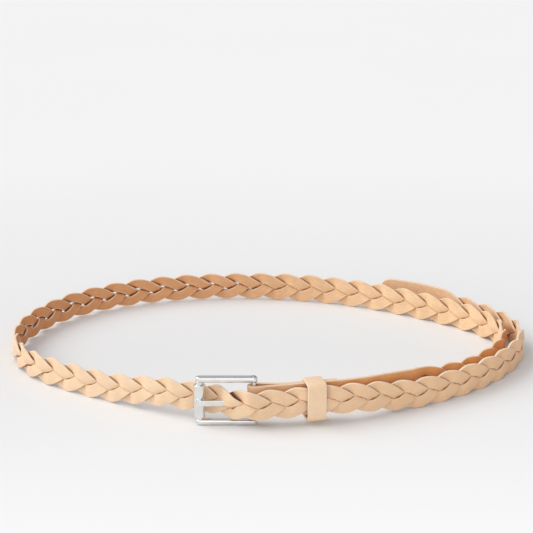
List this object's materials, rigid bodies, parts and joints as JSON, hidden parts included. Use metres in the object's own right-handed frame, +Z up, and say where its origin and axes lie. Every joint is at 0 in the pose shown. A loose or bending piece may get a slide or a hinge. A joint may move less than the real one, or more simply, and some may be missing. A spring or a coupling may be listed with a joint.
{
  "type": "leather belt",
  "caption": "Narrow three-strand braided leather belt, buckled into a standing loop, with a roller buckle, one keeper and a free tip.",
  "frame": {"origin": "middle of the footprint, on the surface the belt stands on", "axes": "+Z up across the strap's width, +X along the long way of the loop from the roller towards the keeper, +Y from the buckle towards the back of the loop"},
  "size_m": [0.2967, 0.2058, 0.028],
  "materials": {
    "natural_leather": "natural grain, undyed",
    "polished_metal": "polished",
    "steel_wire": "drawn wire",
    "thread": "waxed thread"
  },
  "bodies": {
    "strap": {"chape": "natural_leather", "chape_stitches": "thread", "loop_strand_a": "natural_leather", "loop_strand_b": "natural_leather", "loop_strand_c": "natural_leather", "held_strand_a": "natural_leather", "held_strand_b": "natural_leather", "held_strand_c": "natural_leather"},
    "buckle": {"buckle_frame": "polished_metal", "pivot_bar": "polished_metal", "threaded_strand_a": "natural_leather", "threaded_strand_b": "natural_leather", "threaded_strand_c": "natural_leather"},
    "roller": {"roller": "polished_metal"},
    "prong": {"prong": "polished_metal"},
    "keeper": {"keeper_loop": "natural_leather", "keeper_staple": "steel_wire"},
    "tail_front": {"tail_front_strand_a": "natural_leather", "tail_front_strand_b": "natural_leather", "tail_front_strand_c": "natural_leather"},
    "tail_end": {"tail_end_strand_a": "natural_leather", "tail_end_strand_b": "natural_leather", "tail_end_strand_c": "natural_leather", "tip_tab": "natural_leather"}
  },
  "joints": [
    {"name": "frame_tilt", "type": "hinge", "parent": "strap", "child": "buckle", "pos_m": [-0.0079, -0.0931, 0.014], "axis": [0, 0, 1], "range_deg": [-8, 8], "stiffness_Nm_per_rad": 0.2},
    {"name": "roller_spin", "type": "hinge", "parent": "buckle", "child": "roller", "pos_m": [-0.0371, -0.0931, 0.014], "axis": [0, 0, 1], "continuous": true},
    {"name": "prong_swing", "type": "hinge", "parent": "buckle", "child": "prong", "pos_m": [-0.0079, -0.0931, 0.014], "axis": [0, 0, 1], "range_deg": [0, 3], "stiffness_Nm_per_rad": 0.01},
    {"name": "keeper_slide", "type": "slide", "parent": "strap", "child": "keeper", "axis": [0.977, 0.213, 0], "range_m": [-0.009, 0.008]},
    {"name": "tail_lift", "type": "hinge", "parent": "strap", "child": "tail_front", "pos_m": [0.0434, -0.08867, 0.014], "axis": [0, 0, -1], "range_deg": [0, 12], "stiffness_Nm_per_rad": 0.05},
    {"name": "tail_curl", "type": "hinge", "parent": "tail_front", "child": "tail_end", "pos_m": [0.14536, 0.00304, 0.0077], "axis": [0, 0, -1], "range_deg": [0, 12], "stiffness_Nm_per_rad": 0.05}
  ],
  "couplings": [
    {"joint": "tail_curl", "follows": "tail_lift", "ratio": 1}
  ]
}
